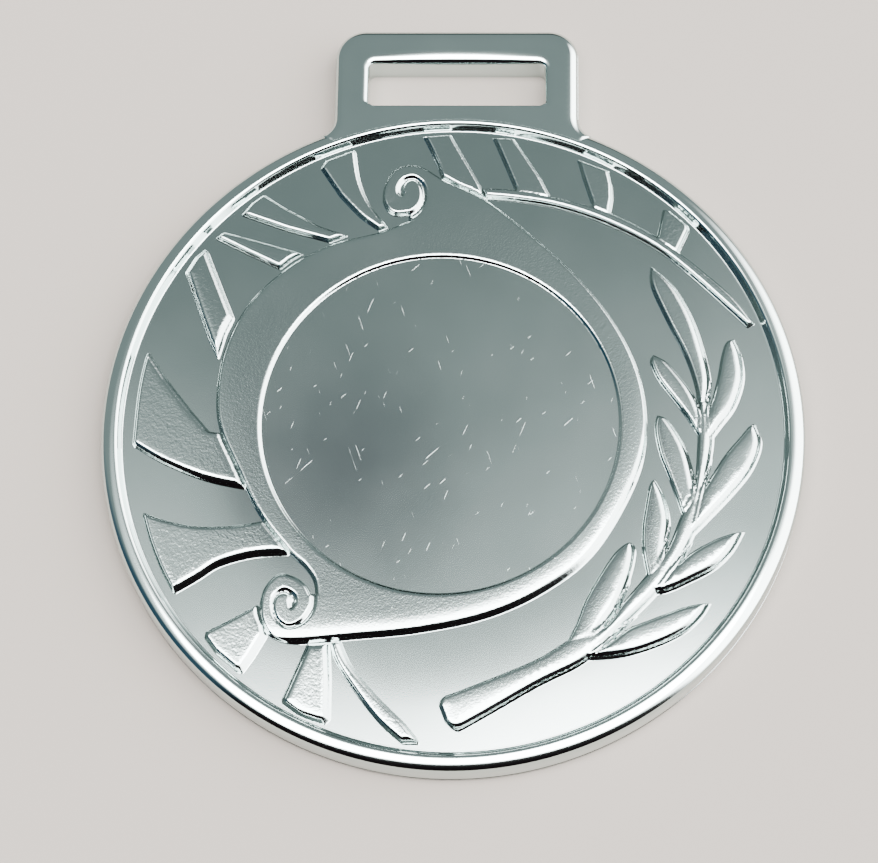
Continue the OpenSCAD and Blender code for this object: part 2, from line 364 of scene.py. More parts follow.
@dataclass
class CastRelief:
    """A group of raised ornaments that flow into each other.

    The wall rows follow every outline and are joined up by a constrained
    triangulation, because an inset of a scroll or a leaf tip folds over
    itself. One bmesh per ornament is then cut out of the group and closed.
    A worn profile follows the outlines moved by worn_shift, up and to the
    left, and the lower of the two surfaces counts, so only the lower right
    sides are worn. With a cut profile the cuts are grooves in the surface,
    and without one they end it.
    """

    ornaments: list[Ornament]
    profile: WallProfile
    sizes: MedalSizes
    gap: float = 0.12
    inner_gap: float = 0.34
    seat: tuple[Point, float] | None = None
    cut_profile: WallProfile | None = None
    worn_profile: WallProfile | None = None
    worn_shift: Point = (-0.2, 0.2)
    worn_reach: float = 0.6
    sunk: float = 0.25

    def depth(self, pts: np.ndarray) -> np.ndarray:
        """Distance of points inside the whole group, and outside the seat."""
        d = self._outer_depth(pts)
        return np.minimum(d, self._from_seat(pts)) if self.seat else d

    def _outer_depth(self, pts: np.ndarray) -> np.ndarray:
        """Depth inside the group's outlines, with the seat's edge left out."""
        return np.max([o.depth(pts) for o in self.ornaments], axis=0)

    def _from_seat(self, pts: np.ndarray) -> np.ndarray:
        """Distance of points outside the seat's edge."""
        (x, y), radius = self.seat
        return np.hypot(pts[:, 0] - x, pts[:, 1] - y) - radius

    def _height(self, pts: np.ndarray) -> np.ndarray:
        """Height of the cast surface over the field.

        Args:
            pts: The points.

        Returns:
            The heights in millimetres.
        """
        outline = self.ornaments[0].outline
        if self.cut_profile:
            cuts = np.max([depth_inside(pts, c) for o in self.ornaments for c in o.cuts], axis=0)
            z = np.minimum(self.profile.height(depth_inside(pts, outline)),
                           self.cut_profile.height(-cuts))
        else:
            z = self.profile.height(self._outer_depth(pts))
        if self.worn_profile:
            moved = pts - np.array(self.worn_shift)
            inside = (depth_inside(moved, outline, self.worn_reach) if self.cut_profile
                      else self._outer_depth(moved))
            z = np.minimum(z, self.worn_profile.height(inside))
        if self.seat:
            rise = self.sizes.seat_rise
            lip = WallProfile(((-0.14, rise - 0.012), (-0.08, rise), (0.0, rise + 0.04),
                               (0.06, rise + 0.11), (0.12, rise + 0.15), (0.2, rise + 0.168),
                               (0.35, rise + 0.176), (2.4, rise + 0.19)))
            z = np.minimum(z, lip.height(self._from_seat(pts)))
        return z

    def _points(self) -> tuple[np.ndarray, list[tuple[int, int]]]:
        """Places the points of the group and the edges that outlines need.

        Returns:
            The points, and pairs of point numbers along the outlines.
        """
        loops = [even(o.outline, self.gap) for o in self.ornaments]
        loops += [even(c, self.gap) for o in self.ornaments for c in o.cuts]
        if self.seat:
            loops.append(even(circle(self.seat[0], self.seat[1], 720), self.gap))
        fixed, edges, rows = [], [], []
        for loop in loops:
            start = len(fixed)
            fixed += list(loop)
            edges += [(start + i, start + (i + 1) % len(loop)) for i in range(len(loop))]
            run = np.roll(loop, -1, axis=0) - np.roll(loop, 1, axis=0)
            out = np.stack([run[:, 1], -run[:, 0]], 1) / np.maximum(np.hypot(*run.T), 1e-9)[:, None]
            for d in self.profile.rows:
                if d:
                    rows += [loop + out * d, loop - out * d]
            if self.seat:
                rows += [loop + out * d for d in SEAT_ROWS]
        spread = np.concatenate(rows)
        _, once = np.unique(np.round(spread / SAME_ROW), axis=0, return_index=True)
        spread = spread[np.sort(once)]
        # a row that a neighbouring outline has cut short isn't at its own depth any more
        depth = self.depth(spread)
        near = np.min([np.abs(np.abs(depth) - abs(d))
                       for d in self.profile.rows + SEAT_ROWS], axis=0)
        spread = spread[(near < 0.006) & (depth > -0.2)]
        low, high = np.array(fixed).min(0), np.array(fixed).max(0)
        g = self.inner_gap
        xs, ys = np.arange(low[0], high[0], g), np.arange(low[1], high[1], g * 0.866)
        grid = np.array([(x + (j % 2) * g / 2, y) for j, y in enumerate(ys) for x in xs])
        grid = grid[self.depth(grid) > self.profile.rows[-1] + 0.12]
        keep, seen = [], {(round(p[0] / SAME_POINT), round(p[1] / SAME_POINT)) for p in fixed}
        for p in np.concatenate([spread, grid]):
            key = (round(p[0] / SAME_POINT), round(p[1] / SAME_POINT))
            if key not in seen:
                seen.add(key)
                keep.append(p)
        return np.array(fixed + keep), edges

    def _triangulate(self) -> tuple[np.ndarray, list, np.ndarray]:
        """Joins the points up, flat.

        Returns:
            The points, the corners of each face and the middle of each face.
        """
        pts, edges = self._points()
        verts, _, faces, *_ = delaunay_2d_cdt([Vector(p) for p in pts], edges, [], 0, 1e-5)
        xy = np.array([tuple(v) for v in verts])
        return xy, faces, xy[np.array([list(f)[:3] for f in faces])].mean(1)

    def build(self) -> dict[str, bmesh.types.BMesh]:
        """Builds one closed mesh for each ornament of the group.

        Returns:
            The meshes by ornament name, in metres.
        """
        xy, faces, mid = self._triangulate()
        if self.cut_profile:
            # the scrolls' grooves are part of the surface, so only the outside edge ends it
            edge = depth_inside(mid, self.ornaments[0].outline)
            if self.seat:
                edge = np.minimum(edge, self._from_seat(mid))
        else:
            edge = self.depth(mid)
        inside = edge > self.profile.rows[0]
        owner = np.argmax([o.depth(mid) for o in self.ornaments], axis=0)
        z = self.sizes.field_z(np.hypot(*xy.T)) + self._height(xy)
        return {ornament.name: close_below(raise_faces(xy, z, faces, inside & (owner == n)),
                                           (self.sizes.field_t - self.sunk) * MM)
                for n, ornament in enumerate(self.ornaments)}

    def dress(self, finish: bpy.types.Material, nodes: tuple[str, ...]) -> None:
        """Models the group and makes a piece of each ornament.

        Args:
            finish: The relief's finish.
            nodes: The CAD node that each ornament stands for.
        """
        for node, (name, bm) in zip(nodes, self.build().items()):
            place(bm, name, finish, (node,))


def raise_faces(xy: np.ndarray, z: np.ndarray, faces: list,
                kept: np.ndarray) -> bmesh.types.BMesh:
    """Raises some faces of a flat triangulation to their heights.

    Args:
        xy: The points, one per row, in millimetres.
        z: Their heights, in millimetres.
        faces: The corners of each face.
        kept: Whether each face is part of the surface.

    Returns:
        The open surface, in metres.
    """
    bm = bmesh.new()
    known: dict[int, bmesh.types.BMVert] = {}
    for corners in (f for f, ok in zip(faces, kept) if ok):
        for i in corners:
            if i not in known:
                known[i] = bm.verts.new((xy[i][0] * MM, xy[i][1] * MM, z[i] * MM))
        bm.faces.new([known[i] for i in corners])
    return bm


def close_below(bm: bmesh.types.BMesh, floor: float) -> bmesh.types.BMesh:
    """Gives an open surface upright edges and a flat underside.

    Args:
        bm: The surface, looking up.
        floor: Height of the underside, in metres.

    Returns:
        The same mesh, closed.
    """
    bmesh.ops.recalc_face_normals(bm, faces=bm.faces)
    if sum(f.normal.z for f in bm.faces) < 0:
        bmesh.ops.reverse_faces(bm, faces=bm.faces)
    rim = [e for e in bm.edges if len(e.link_faces) == 1]
    skirt = bmesh.ops.extrude_edge_only(bm, edges=rim)["geom"]
    low = [g for g in skirt if isinstance(g, bmesh.types.BMVert)]
    for v in low:
        v.co.z = floor
    below = [g for g in skirt if isinstance(g, bmesh.types.BMEdge) and len(g.link_faces) == 1]
    bmesh.ops.triangle_fill(bm, edges=below, use_beauty=True)
    bmesh.ops.recalc_face_normals(bm, faces=bm.faces)
    return bm


def place(bm: bmesh.types.BMesh, name: str, material: bpy.types.Material,
          nodes: tuple[str, ...], smooth_below: float = 42.0) -> bpy.types.Object:
    """Turns a finished mesh into a piece of the medal.

    Args:
        bm: The mesh, in metres and in place.
        name: The piece's name.
        material: Its finish.
        nodes: The CAD nodes that it stands for.
        smooth_below: Edges flatter than this angle are shaded smooth.

    Returns:
        The new object.
    """
    mesh = bpy.data.meshes.new(name)
    bm.to_mesh(mesh)
    bm.free()
    for poly in mesh.polygons:
        poly.use_smooth = True
    mesh.set_sharp_from_angle(angle=math.radians(smooth_below))
    piece = bpy.data.objects.new(name, mesh)
    bpy.context.scene.collection.objects.link(piece)
    mesh.materials.append(material)
    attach(piece, "root")
    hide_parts(*nodes)
    log.info("%s: %d faces, stands for %s", name, len(mesh.polygons), ", ".join(nodes))
    return piece


# ---------------------------------------------------------------- finishes
class Surface(Enum):
    """How the plated surface was left."""

    PLAIN = "plain"
    SCRATCHED = "scratched"
    GRAINED = "grained"
    HAMMERED = "hammered"


@dataclass(frozen=True)
class PlatedZinc:
    """Silver-coloured satin plate on a zinc casting.

    To the eye it is a soft mirror: it takes its greys from the room, blurs
    them a little, and keeps a faint cool green of its own. Grain and flecks
    are sizes in millimetres. The plate follows the cast skin, so raised tops
    sparkle and the plain field stays calm. The grain and flecks of the raised
    tops are drawn coarser than the real skin's, so that they show.
    """

    name: str
    surface: Surface
    colour: str = "#b6c1bf"
    shade: str = "#a9b4b2"
    roughness: float = 0.2
    cloud_mm: float = 6.0
    grain_mm: float = 0.1
    grain_depth_mm: float = 0.0008
    fleck_mm: float = 0.24
    fleck_depth_mm: float = 0.0
    scratch_mm: float = 1.6
    scratch_depth_mm: float = 0.004

    def build(self) -> bpy.types.Material:
        """Makes the node material.

        Returns:
            The finished material.
        """
        material = bpy.data.materials.new(self.name)
        material.use_nodes = True
        tree = material.node_tree
        tree.nodes.clear()
        coords = add_node(tree, "ShaderNodeTexCoord").outputs["Object"]
        # slow colour variation of the plate, a few millimetres across
        cloud = add_node(tree, "ShaderNodeTexNoise", {},
                         {"Vector": coords, "Scale": 1 / (self.cloud_mm * MM), "Detail": 3.0})
        tint = add_node(tree, "ShaderNodeMix", {"data_type": "RGBA"},
                        {"Factor": cloud.outputs["Fac"], "A": srgb(self.shade),
                         "B": srgb(self.colour)})
        # fine tooth of the cast skin
        grain = add_node(tree, "ShaderNodeTexNoise", {},
                         {"Vector": coords, "Scale": 1 / (self.grain_mm * MM), "Detail": 2.0})
        bump = add_node(tree, "ShaderNodeBump", {},
                        {"Height": grain.outputs["Fac"], "Distance": self.grain_depth_mm * MM,
                         "Strength": 1.0})
        if self.surface in (Surface.GRAINED, Surface.HAMMERED):
            fleck = add_node(tree, "ShaderNodeTexNoise", {},
                             {"Vector": coords, "Scale": 1 / (self.fleck_mm * MM), "Detail": 1.0,
                              "Distortion": 0.6})
            bump = add_node(tree, "ShaderNodeBump", {},
                            {"Height": fleck.outputs["Fac"], "Distance": self.fleck_depth_mm * MM,
                             "Strength": 1.0, "Normal": bump.outputs["Normal"]})
        if self.surface is Surface.SCRATCHED:
            bump = self._scratches(tree, coords, bump)
        # handling leaves some patches a little duller than others
        dulled = add_node(tree, "ShaderNodeMapRange", {},
                          {"Value": cloud.outputs["Fac"], "To Min": self.roughness * 0.85,
                           "To Max": self.roughness * 1.15})
        shader = add_node(tree, "ShaderNodeBsdfPrincipled", {},
                          {"Base Color": tint.outputs["Result"], "Metallic": 1.0,
                           "Roughness": dulled.outputs["Result"], "Normal": bump.outputs["Normal"]})
        add_node(tree, "ShaderNodeOutputMaterial", {}, {"Surface": shader.outputs["BSDF"]})
        return material

    def _scratches(self, tree: bpy.types.NodeTree, coords: bpy.types.NodeSocket,
                   bump: bpy.types.Node) -> bpy.types.Node:
        """Adds short hairline scratches, about 0.8 mm long, in three directions.

        Args:
            tree: The material's nodes.
            coords: Object coordinates.
            bump: The surface so far.

        Returns:
            The surface with scratches.
        """
        for n, angle in enumerate((0.75, 1.2, 1.9)):
            # noise drawn out 32 times along the scratch; only its few highest peaks cut
            turned = add_node(tree, "ShaderNodeMapping", {"vector_type": "TEXTURE"},
                              {"Vector": coords, "Rotation": (0.0, 0.0, angle),
                               "Location": (0.013 * n, 0.007 * n, 0.0),
                               "Scale": (1.0, 1 / 32, 1.0)})
            line = add_node(tree, "ShaderNodeTexNoise", {},
                            {"Vector": turned.outputs["Vector"],
                             "Scale": 1 / (self.scratch_mm * MM), "Detail": 0.0})
            cut = add_node(tree, "ShaderNodeMapRange", {},
                           {"Value": line.outputs["Fac"], "From Min": 0.88, "From Max": 0.94})
            bump = add_node(tree, "ShaderNodeBump", {"invert": True},
                            {"Height": cut.outputs["Result"],
                             "Distance": self.scratch_depth_mm * MM, "Strength": 1.0,
                             "Normal": bump.outputs["Normal"]})
        return bump


# ---------------------------------------------------------------- design
RING_OUTSIDE = [
    (-3.3, 16.66), (-4.28, 16.6), (-4.9, 17), (-5.26, 17.9), (-5.1, 19.05), (-4.5, 20.16),
    (-3.5, 20.6), (-2.3, 20.36), (-0.7, 19.3), (2.2, 17.8), (6.15, 14.44), (9.33, 11.17),
    (11.6, 7.95), (13.1, 4.6), (13.7, 1.2), (13.45, -2.3), (12.2, -5.9), (9.85, -9.75),
    (6.76, -12.25), (3.1, -14), (-1.42, -15.03), (-6, -15.53), (-10, -15.87), (-12.1, -15.5),
    (-13.02, -14.3), (-13.18, -13), (-12.85, -11.75), (-12, -10.88), (-10.9, -11.05),
    (-10.1, -11.65), (-9.7, -12.35)]
RING_LEFT = [
    (-9.32, -12.3), (-9.5, -11.3), (-10.2, -10.25), (-11.45, -9.05), (-13.55, -6.3),
    (-15.2, -2.95), (-16.5, 0), (-16.8, 2.7), (-16.35, 6), (-14.9, 9.35), (-12.3, 12.2),
    (-9.15, 14.15), (-5.5, 15.2), (-3.3, 16.1)]
UPPER_PATH = [
    (-3.4, 16.4), (-2.82, 16.78), (-2.42, 17.35), (-2.26, 18), (-2.33, 18.65), (-2.6, 19.15),
    (-3.1, 19.48), (-3.65, 19.3), (-3.95, 18.8), (-3.95, 18.3), (-3.75, 18.15)]
UPPER_WIDTH = [0.6, 0.5, 0.42, 0.4, 0.36, 0.34, 0.34, 0.4, 0.5, 0.5, 0.35]
LOWER_PATH = [
    (-9.53, -12.2), (-9.47, -12.8), (-9.62, -13.5), (-10.25, -14.35), (-11.2, -14.7),
    (-12, -14.15), (-12.29, -13.3), (-12.14, -12.5), (-11.55, -12.12), (-11, -12.45),
    (-10.95, -12.95), (-11.05, -13.4)]
LOWER_WIDTH = [0.42, 0.36, 0.35, 0.34, 0.26, 0.22, 0.18, 0.22, 0.38, 0.46, 0.54, 0.2]
COMB_LOW = [
    (2.21, 18.02), (4.64, 17.78), (7.5, 17.25), (10.7, 16.12), (14.2, 14.25), (16.9, 12.05),
    (19.94, 9.08), (21.05, 7.95)]
COMB_HIGH = [
    (21.5, 8.2), (20.1, 10.15), (18.12, 12.05), (16.08, 13.8), (14.03, 15.3), (11.2, 16.82),
    (7.97, 17.85), (4.38, 18.6), (1.9, 18.72)]
# rays, counted clockwise from the foot of the ring; each is a chain of smooth (True) and
# straight runs, and those after the loose ones are the comb's teeth
LOOSE_RAYS = 9
RAY_CHAINS: list[list[tuple[bool, Loop]]] = [
    [(True, [(-8.3, -15.6), (-7.8, -17.15), (-6.4, -19.3), (-4.76, -21.4), (-3.1, -22.9)]),
     (True, [(-1.95, -22.9), (-2.94, -21.6), (-4.9, -19.65), (-6.73, -17.45), (-7.6, -15.6)])],
    [(False, [(-8.35, -15.5), (-8.17, -18.4), (-8.14, -21.3)]),
     (True, [(-8.4, -21.55), (-10.06, -21), (-11.42, -20.05)]),
     (False, [(-11.42, -19.8), (-9.8, -15.9), (-9.6, -15.6)])],
    [(False, [(-13.4, -13.1), (-13, -14), (-12.65, -15.4), (-13.55, -17), (-14.2, -17.95),
              (-14.6, -17.85), (-16.1, -16.6), (-16.95, -15.45), (-16.9, -15.05),
               (-14.9, -13.97)])],
    [(True, [(-12.9, -6.9), (-15.2, -7.3), (-17.94, -7.36), (-20.3, -6.85), (-21.65, -6.35)]),
     (True, [(-21.65, -6.6), (-21.05, -8.5), (-20.2, -10.5), (-19.3, -12.15)]),
     (True, [(-19.05, -12.2), (-17.48, -11.24), (-15.97, -10.26), (-13.7, -9.6), (-11.3, -9.4)])],
    [(True, [(-21.76, 5.7), (-22, 5.5), (-22.44, 2.8), (-22.64, -1.1)]),
     (True, [(-22.5, -1.35), (-20.36, -2.64), (-17.33, -3.92), (-14.5, -4.55)]),
     (False, [(-15.5, -2.2), (-16.3, -0.4), (-17.26, -0.29), (-18.55, 1.23), (-20.36, 3.58)])],
    [(False, [(-19.42, 12.1), (-18.75, 13.3), (-18.15, 13.85), (-17.95, 13.7), (-16.7, 10.55),
              (-15.82, 8.35), (-16.35, 7.1), (-16.8, 5.35), (-17.5, 6.75), (-18.25, 8.75)])],
    [(False, [(-17.35, 14.8), (-16.8, 15.25), (-14.3, 14.5), (-12.03, 13.8), (-11.1, 13.5),
              (-12.03, 12.9), (-12.64, 12.36), (-14.9, 13.5)])],
    [(False, [(-15.5, 16.66), (-14.8, 17.6), (-14, 18.23), (-12.5, 17.2), (-9.9, 15.7),
              (-7.86, 14.97), (-9.08, 14.48), (-12.2, 15.4)])],
    [(False, [(-9.85, 20.4), (-9.5, 21), (-7.5, 21.85)]),
     (True, [(-7.4, 21.7), (-7.03, 19.4), (-6.27, 17.5), (-4.95, 15.65)]),
     (True, [(-5.5, 15.42), (-6.9, 16.5), (-8.4, 18.15)])],
    [(False, [(-2.35, 22.95), (-0.4, 23.08), (0.55, 21.3), (1.2, 20.1), (1.8, 18.95), (2.35, 17.6),
              (-1, 19.6), (-1.3, 20.6), (-1.9, 22)])],
    [(False, [(2.75, 22.85), (4.2, 22.8), (4.94, 21.64), (6.15, 19.67), (7.05, 17.8), (4.3, 18.3),
              (4.38, 18.7), (3.73, 20.4)])],
    [(False, [(8.95, 21.1), (11.15, 20.2), (11.4, 19), (11.42, 17.9), (11.2, 16.5), (9.9, 17.1),
              (9.97, 17.5), (9.3, 19.7)])],
    [(False, [(15.15, 17.1), (15.5, 17.05), (16.85, 15.85), (16.95, 15.5), (16.05, 13.5),
              (14.5, 14.6), (14.7, 15)])]]
STEM_LEFT = [
    (-0.62, -20.2), (-0.3, -19.6), (1, -19.07), (5.85, -17), (8.6, -15.3), (10.7, -14.55),
    (12, -12.85), (13.5, -11), (15.1, -8.95), (16.1, -6.5), (17.05, -4.4), (17.35, -1.5),
    (17.5, 2.1)]
STEM_RIGHT = [
    (-0.2, -21.3), (0.7, -21.97), (2.14, -21.3), (6.15, -18.9), (9.2, -17.3), (10.8, -15.9),
    (11.95, -14.7), (14.4, -12.2), (16, -9.9), (17.2, -7.4), (17.92, -4.06), (18.45, -0.9),
    (18.2, 1.9)]
# leaves from the foot of the branch up, left and right edges from the foot to the shared tip
LEAVES: list[tuple[Loop, Loop]] = [
    ([(8, -15.9), (8.75, -14.4), (9.4, -12.7), (10.3, -11), (11.4, -9.3), (12.15, -8.58),
      (12.5, -8.42)],
     [(10.2, -15.6), (10.9, -14.3), (11.75, -13), (12.45, -11.3), (12.85, -9.6), (12.8, -8.7),
      (12.5, -8.42)]),
    ([(11.3, -15.5), (12.4, -14.65), (13.9, -14), (16, -13.15), (17.2, -12.85), (18.15, -12.78)],
     [(9.3, -16.9), (12.3, -16.6), (14.6, -15.85), (16.4, -14.9), (17.5, -13.85), (18.15, -12.78)]),
    ([(13.8, -11.3), (13.42, -9), (13.42, -7.3), (13.62, -5.9), (13.95, -4.2), (14.3, -3.74)],
     [(14.9, -10.2), (15.1, -8.6), (15.3, -7.2), (15.18, -6), (14.85, -4.8), (14.3, -3.74)]),
    ([(15.3, -10.5), (16.6, -9.3), (17.6, -8.62), (18.7, -8.03), (19.8, -7.65), (20.55, -7.55)],
     [(14.2, -12.1), (15.3, -11.95), (17, -11.15), (18.5, -10.3), (19.7, -9.1), (20.55, -7.55)]),
    ([(16.3, -6.6), (15.75, -4.9), (15.2, -3.3), (14.65, -1.7), (14.37, 0.1), (14.55, 1.08)],
     [(17.3, -5.2), (17, -3.3), (16.6, -1.75), (16, -0.45), (15.2, 0.75), (14.55, 1.08)]),
    ([(17.5, -4.8), (18.35, -3.4), (19.3, -1.85), (20.3, -0.6), (21, 0.25), (21.4, 0.52)],
     [(16.7, -8.2), (17.9, -6.95), (19.9, -4.75), (21.2, -3), (21.85, -1.1), (21.4, 0.52)]),
    ([(17.7, -0.9), (16.5, 1.15), (15.5, 2.55), (14.6, 3.85), (14.1, 5.1), (14.3, 5.68)],
     [(17.8, 0.9), (17.4, 2), (16.85, 3.05), (16.1, 4.1), (15.2, 5.15), (14.3, 5.68)]),
    ([(17.9, 0.9), (18.45, 2.3), (18.9, 4.1), (19.15, 5.5), (19.5, 6.65), (20.05, 6.95)],
     [(18.2, -1), (19.1, 0.25), (20.1, 1.7), (20.7, 3.7), (20.55, 5.6), (20.05, 6.95)]),
    ([(17.6, 1.3), (17.2, 3.6), (16.5, 5.8), (15.2, 8.6), (14.2, 11.1), (14.2, 12.55)],
     [(18, 1.3), (18.33, 3.5), (17.9, 6), (17.1, 8.6), (15.8, 11), (14.2, 12.55)])]


def ring_outline() -> Loop:
    """Closed outside of the scrolled ring."""
    return smooth_run(RING_OUTSIDE, 8, True) + smooth_run(RING_LEFT, 8, True)


def ray_outline(number: int) -> Loop:
    """Closed outline of a ray, joined from its smooth and straight runs."""
    out: Loop = []
    for smooth, points in RAY_CHAINS[number]:
        out += smooth_run(points, 6, True) if smooth else points
    return [p for i, p in enumerate(out) if math.dist(p, out[i - 1]) > 1e-6]


# ---------------------------------------------------------------- turned parts
def spin_profile(profile: Loop, steps: int = 360) -> bmesh.types.BMesh:
    """Turns a closed cross-section round the medal's axis.

    Args:
        profile: Radius and height of its points, in millimetres.
        steps: Steps in the full turn.

    Returns:
        The turned mesh, in metres.
    """
    bm = bmesh.new()
    verts = [bm.verts.new((r * MM, 0.0, z * MM)) for r, z in profile]
    edges = [bm.edges.new((a, b)) for a, b in zip(verts, verts[1:] + verts[:1])
             if not (a.co.x == 0 and b.co.x == 0)]
    bmesh.ops.spin(bm, geom=verts + edges, cent=(0, 0, 0), axis=(0, 0, 1), dvec=(0, 0, 0),
                   angle=math.tau, steps=steps, use_merge=True, use_duplicate=False)
    bmesh.ops.remove_doubles(bm, verts=bm.verts, dist=1e-7)
    bmesh.ops.recalc_face_normals(bm, faces=bm.faces)
    return bm


@dataclass
class PlainField:
    """The plain face of the medal inside the rim, with its flat back."""

    sizes: MedalSizes
    edge_r: float = 23.4
    ring_gap: float = 0.5
    rings: int = 20
    steps: int = 256

    def build(self, finish: bpy.types.Material) -> None:
        """Models and dresses the field.

        Args:
            finish: The field's finish.
        """
        s = self.sizes
        radii = [self.edge_r - self.ring_gap * i for i in range(self.rings)]
        face = [(r, float(s.field_z(r))) for r in radii] + [(0.0, s.field_t)]
        under = s.field_r - 0.2
        bm = spin_profile([(0.0, 0.0), (under, 0.0), (under, s.field_t - 0.4),
                           (self.edge_r + 0.03, face[0][1] - 0.03)] + face, self.steps)
        place(bm, "plain_field", finish, ("disc",))


@dataclass
class RolledRim:
    """The raised rim: a soft rise from the field, a rolled crown and a small step at the back."""

    sizes: MedalSizes

    def build(self, finish: bpy.types.Material) -> None:
        """Models and dresses the rim.

        Args:
            finish: The rim's finish.
        """
        top, r = self.sizes.rim_t, self.sizes.disc_r
        foot = float(self.sizes.field_z(23.45))
        # the rise leaves the field just above it, so that no gap shows between the two pieces
        rise = [(x, float(self.sizes.field_z(x)) + dz)
                for x, dz in ((23.2, -0.02), (23.32, -0.004), (23.38, 0.001))]
        rise += [(x, foot + dz) for x, dz in ((23.44, 0.002), (23.49, 0.014), (23.54, 0.06),
                                              (23.61, 0.2), (23.69, 0.38))]
        roll = [(x, top - dz) for x, dz in (
            (23.76, 0.14), (23.81, 0.08), (23.87, 0.036), (23.94, 0.01), (24.03, 0.0),
            (24.2, 0.012), (24.35, 0.04), (24.5, 0.085), (24.65, 0.155), (24.8, 0.27),
            (24.9, 0.41), (24.97, 0.62), (r, 1.0))]
        groove = [(r, 0.52), (r - 0.06, 0.46), (r - 0.06, 0.41), (r, 0.35)]
        back = [(r, 0.12), (r - 0.1, 0.0), (22.9, 0.0), (22.9, 0.3), (23.2, 0.6)]
        bm = spin_profile(smooth_run(rise + roll, 4, True) + groove + back)
        place(bm, "rolled_rim", finish, ("rim",))


@dataclass
class EmblemSeat:
    """The plain round seat for a centre emblem, raised a little above the field."""

    sizes: MedalSizes
    thick: float = 1.2
    steps: int = 256

    def build(self, finish: bpy.types.Material) -> None:
        """Models and dresses the seat.

        Args:
            finish: The seat's finish.
        """
        s = self.sizes
        r, top = s.seat_d / 2 + 0.05, s.field_t + s.seat_rise
        bm = spin_profile([(0.0, top - self.thick), (r, top - self.thick), (r, top - 0.04),
                           (r - 0.03, top), (0.0, top)], self.steps)
        bmesh.ops.translate(bm, verts=bm.verts,
                            vec=(s.seat_centre[0] * MM, s.seat_centre[1] * MM, 0))
        place(bm, "emblem_seat_disc", finish, ("emblem_seat",))


# ---------------------------------------------------------------- loop
@dataclass
class RibbonLoop(CastRelief):
    """The slotted loop, whose face is flush with the rim's crown.

    slot is the slot's outline, low_y its lower edge, and start_r the radius on
    the rim from which the loop's face takes over.
    """

    corner_r: float = 2.2
    foot_r: float = 1.6
    bevel: float = 1.0
    edge_round: float = 0.7
    start_r: float = 24.15
    low_y: float = 0.0
    slot: Loop = field(default_factory=list)

    @classmethod
    def from_sizes(cls, sizes: MedalSizes) -> "RibbonLoop":
        """Works out the loop's outlines.

        Args:
            sizes: The sizes that the sub-assemblies share.

        Returns:
            The loop, ready to build.
        """
        w = sizes.slot_w / 2 + sizes.loop_bar
        low = sizes.disc_r + 0.3
        high = low + sizes.slot_h
        top = high + sizes.loop_head
        # the fillet at each foot touches the rim at this angle
        foot = math.sqrt((sizes.disc_r + cls.foot_r) ** 2 - (w + cls.foot_r) ** 2)
        turn = math.degrees(math.atan2(foot, w + cls.foot_r))
        hidden_r = 22.0
        inside = (hidden_r * math.cos(math.radians(turn)), hidden_r * math.sin(math.radians(turn)))
        right = ([inside] + arc((w + cls.foot_r, foot), cls.foot_r, turn + 180, 180, 10)
                 + arc((w - cls.corner_r, top - cls.corner_r), cls.corner_r, 0, 90, 18))
        outline = [(0.0, hidden_r)] + right + [(-x, y) for x, y in right[::-1]]
        slot_r = 0.5
        x, y0, y1 = sizes.slot_w / 2 - slot_r, low + slot_r, high - slot_r
        slot = [p for n, corner in enumerate(((x, y1), (-x, y1), (-x, y0), (x, y0)))
                for p in arc(corner, slot_r, 90 * n, 90 * n + 90, 8)]
        cuts = [slot, circle((0, 0), cls.start_r, 720)]
        rows = (0.0, 0.03, 0.07, 0.12, 0.18, 0.25, 0.33, 0.42, 0.52, 0.62)
        return cls([Ornament("ribbon_loop_cast", outline, cuts)],
                   WallProfile(((0.0, 0.0), (1.0, 1.0)), rows), sizes,
                   inner_gap=0.3, low_y=low, slot=slot)

    def _height(self, pts: np.ndarray) -> np.ndarray:
        """Height of the loop's face above the back.

        Args:
            pts: The points.

        Returns:
            The heights in millimetres.
        """
        s = self.sizes
        run = np.clip((np.hypot(pts[:, 0], pts[:, 1]) - self.start_r) / 3.5, 0, 1)
        z = s.loop_t + (s.rim_t - 0.004 - s.loop_t) * (0.5 + 0.5 * np.cos(math.pi * run))
        outer = depth_inside(pts, self.ornaments[0].outline)
        back_off = np.clip(self.edge_round - outer, 0, self.edge_round * 0.97)
        z -= 0.8 * (self.edge_round - np.sqrt(self.edge_round ** 2 - back_off ** 2))
        from_slot = -depth_inside(pts, self.slot)
        # the edge rolls deepest over the middle of the head, and hardly at the foot
        arch = 1 - 0.45 * (pts[:, 0] / (s.slot_w / 2)) ** 2
        wide = np.where(pts[:, 1] < self.low_y + 0.2, 0.12, self.bevel * np.clip(arch, 0.45, 1))
        cut = np.clip(1 - from_slot / wide, 0, 1)
        turn = np.clip(1 - from_slot / (0.4 * wide), 0, 0.97)
        return z - 0.19 * wide * cut ** 2 - 0.34 * wide * (1 - np.sqrt(1 - turn ** 2))

    def build_piece(self, finish: bpy.types.Material) -> None:
        """Models and dresses the loop.

        Args:
            finish: The loop's finish.
        """
        xy, faces, mid = self._triangulate()
        bm = raise_faces(xy, self._height(xy), faces, self.depth(mid) > 0)
        place(close_below(bm, 0.0), "ribbon_loop_cast", finish, ("ribbon_loop",))


